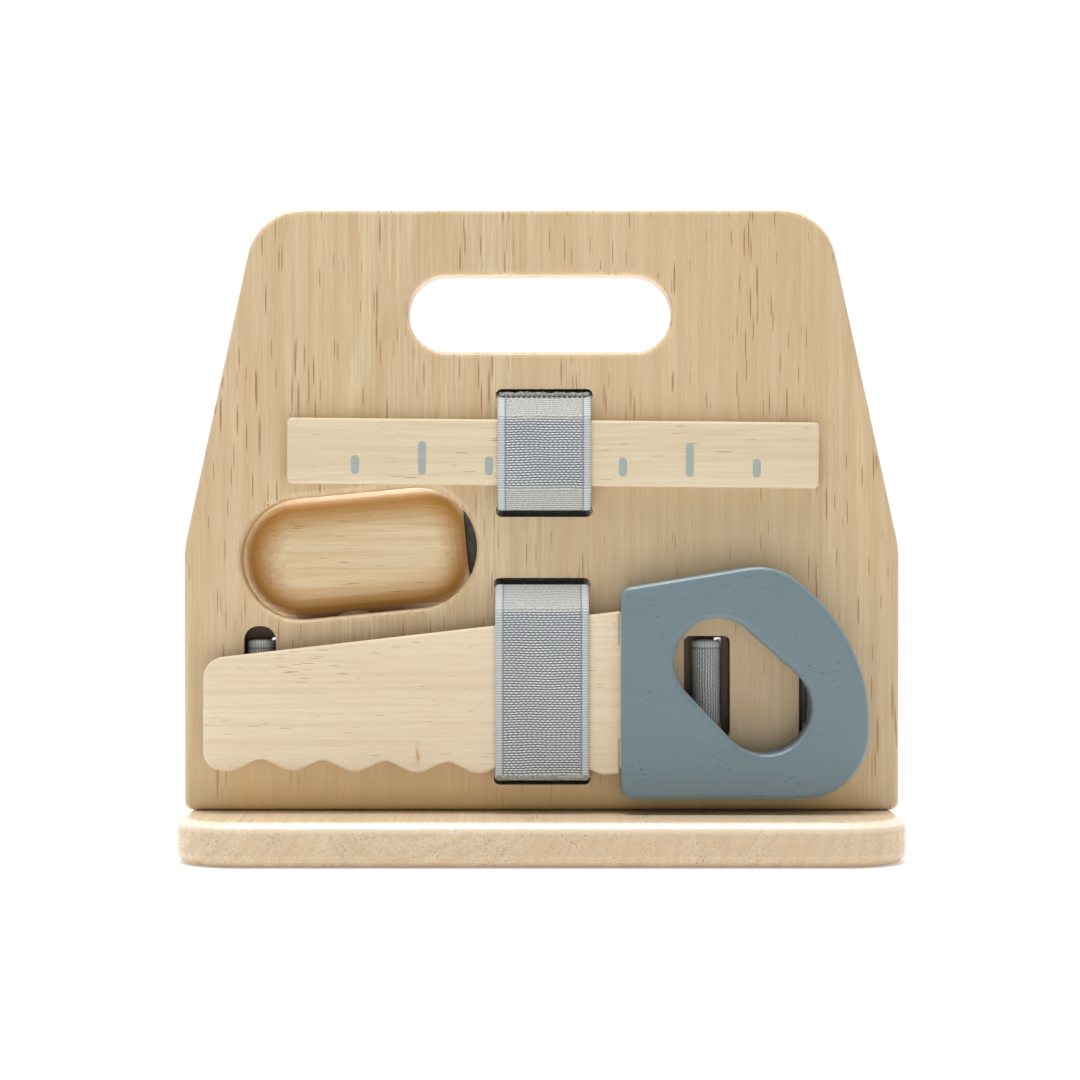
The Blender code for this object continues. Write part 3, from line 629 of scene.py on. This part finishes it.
def glue_line(finish):
    """A thin line of glue squeezed out where the saw's blade meets its handle."""
    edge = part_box("saw_handle")[0][0]
    front, back = -18.6 * MM, -13.0 * MM
    top, bottom = 91.7 * MM, 33.4 * MM
    bm = bmesh.new()
    outline = rounded([(front, bottom, 0.5 * MM), (back, bottom, 0.5 * MM), (back, top, 0.5 * MM),
                       (front, top, 0.5 * MM)], 3)
    sides = [[bm.verts.new((edge + shift, p.x, p.y)) for p in outline] for shift in (-0.4 * MM, 0.3 * MM)]
    count = len(outline)
    for j in range(count):
        bm.faces.new((sides[0][j], sides[0][(j + 1) % count], sides[1][(j + 1) % count], sides[1][j]))
    bm.faces.new(sides[0])
    bm.faces.new(sides[1])
    line = new_object("saw_glue_line", bm, finish, smooth=False)
    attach(line, "saw")


# Stage

def area_light(name, at, target, size, energy):
    data = bpy.data.lights.new(name, "AREA")
    data.shape, data.size, data.energy = "SQUARE", size, energy
    lamp = bpy.data.objects.new(name, data)
    bpy.context.scene.collection.objects.link(lamp)
    lamp.location = at
    lamp.rotation_euler = (Vector(target) - Vector(at)).to_track_quat("-Z", "Y").to_euler()


def studio_world():
    """White walls behind and above the object, fading to a dim room on the camera's side."""
    world = bpy.data.worlds.new("studio")
    bpy.context.scene.world = world
    world.use_nodes = True
    tree = world.node_tree

    def add(kind, **settings):
        node = tree.nodes.new("ShaderNode" + kind)
        for key, value in settings.items():
            setattr(node, key, value)
        return node
    axes = add("SeparateXYZ")
    tree.links.new(add("TexCoord").outputs["Generated"], axes.inputs[0])
    level = None
    for axis, low, high, strength in WORLD_LIGHT:
        part = add("MapRange", interpolation_type="SMOOTHSTEP")
        for socket, value in zip(("From Min", "From Max", "To Min", "To Max"), (low, high, 0.0, strength)):
            part.inputs[socket].default_value = value
        tree.links.new(axes.outputs[axis], part.inputs["Value"])
        total = add("Math", operation="ADD")
        tree.links.new(part.outputs[0], total.inputs[0])
        if level is None:
            total.inputs[1].default_value = WORLD_DIM_SIDE
        else:
            tree.links.new(level.outputs[0], total.inputs[1])
        level = total
    background = tree.nodes["Background"]
    background.inputs["Color"].default_value = (1, 1, 1, 1)
    tree.links.new(level.outputs[0], background.inputs["Strength"])


def stage():
    bm = bmesh.new()
    bmesh.ops.create_grid(bm, x_segments=1, y_segments=1, size=6)
    n = Nodes("floor_white")
    n.finish((0.93, 0.93, 0.93, 1), 0.6)
    n.shader.inputs["Emission Color"].default_value = (1, 1, 1, 1)
    n.shader.inputs["Emission Strength"].default_value = FLOOR_GLOW
    floor = new_object("floor", bm, n.material, smooth=False)
    floor.location = (0, 0, -0.2 * MM)
    studio_world()
    area_light("back_light", (0.0, 0.32, 0.95), (0, 0, 0.12), 0.5, BACK_LIGHT_WATTS)
    area_light("softbox", (-0.06, -0.10, 0.95), (0, 0, 0.1), 0.5, SOFTBOX_WATTS)
    bpy.context.scene.view_settings.view_transform = "Standard"


def camera():
    data = bpy.data.cameras.new("camera")
    data.sensor_width, data.lens = 36, 88.3
    view = bpy.data.objects.new("camera", data)
    bpy.context.scene.collection.objects.link(view)
    view.location = (-0.0006, -1.0075, 0.1188)
    view.rotation_euler = (pi / 2, 0, 0)
    bpy.context.scene.camera = view


def front_straps(web):
    ruler_low, ruler_high = (Vector(c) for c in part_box("ruler"))
    slope = (ruler_high.z - ruler_low.z - RULER_HEIGHT) / 2 * (1 - WEB_WIDTH / RULER_LENGTH)
    thread, frayed = thread_material(), frayed_material()

    front_strap("ruler_strap", ruler_low.z + slope, ruler_high.z - slope, web)
    backing_strip("ruler_strap", RULER_SLOTS, web)
    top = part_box("ruler_strap")[1][2]
    sewn_end(middle_x("ruler_strap"), top - 0.9 * MM, top + 1.2 * MM, FRONT - RAW_END_OUT, thread, frayed,
             "ruler_strap_raw_end", True)

    front_strap("saw_strap", *SAW_UNDER_STRAP, web)
    backing_strip("saw_strap", SAW_SLOTS, web)
    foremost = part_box("saw_strap")[0][1]
    sewn_end(middle_x("saw_strap"), 29.2 * MM, 31.2 * MM, foremost - 0.3 * MM, thread, frayed,
             "saw_strap_raw_end", False)


def back_straps(web):
    grip_x = HAMMER_X - GRIP_OFFSET * cos(HAMMER_TILT)
    drop = HAMMER_Z - GRIP_OFFSET * sin(HAMMER_TILT) - BACK_STRAP_MIDDLE
    hammer_strap = back_strap("hammer_strap", HAMMER_SLOTS, grip_x + drop * tan(HAMMER_TILT), HAMMER_Y,
                              GRIP_RADIUS, WEB_WIDTH / 2 * tan(HAMMER_TILT), web)
    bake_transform(hammer_strap)
    driver_strap = back_strap("screwdriver_strap", DRIVER_SLOTS, DRIVER_X, BACK + 0.9 * MM + DRIVER_RADIUS,
                              DRIVER_RADIUS, 0, web)
    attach(driver_strap, "carrier")


def main():
    camera()
    stage()
    pore = (0.31, 0.135, 0.05)
    board = wood("board_rubberwood", "Z", (0.665, 0.54, 0.36), (0.575, 0.44, 0.265), pore, stave=74,
                 pore_amount=0.7, shift=148.0, edge=painted_pocket_shade_and_foot_bounce)
    base = wood("base_rubberwood", "Y", (0.68, 0.56, 0.40), (0.60, 0.475, 0.32), (0.34, 0.22, 0.14), stave=74,
                pore_amount=0.62, shift=151.0, edge=painted_rim_highlight)
    ruler = wood("ruler_rubberwood", "X", (0.72, 0.62, 0.44), (0.65, 0.55, 0.375), pore, pore_amount=0.5,
                 pore_scale=1.5, shift=11.0, contrast=0.55)
    blade = wood("blade_rubberwood", "X", (0.76, 0.66, 0.48), (0.69, 0.58, 0.405), pore, pore_amount=0.42,
                 pore_scale=1.7, shift=37.0, contrast=0.45, edge=knotted)
    head = wood("head_rubberwood", "X", (0.84, 0.70, 0.47), (0.76, 0.60, 0.37), pore, pore_amount=0.6,
                pore_scale=1.5, shift=53.0, contrast=0.8, edge=painted_head_edge_shade)
    upright = wood("handle_rubberwood", "Z", (0.82, 0.67, 0.44), (0.72, 0.55, 0.33), pore, shift=71.0)
    blue, web, dark, zinc = paint("blue_grey_paint"), webbing(), rubber(), steel()
    finishes = {
        "back_board": board, "base_plank": base, "ruler": ruler, "saw_blade": blade, "hammer_head": head,
        "hammer_handle": upright, "saw_handle": blue, "screwdriver_handle": blue, "hammer_cap": dark,
        "screwdriver_shaft": zinc,
    }
    for name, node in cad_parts.items():
        kind = finishes.get(name, zinc if "screw_" in name else upright)
        node.data.materials.clear()
        node.data.materials.append(kind)

    front_straps(web)
    back_straps(web)
    ruler_marks(ink())
    glue_line(blade)


main()
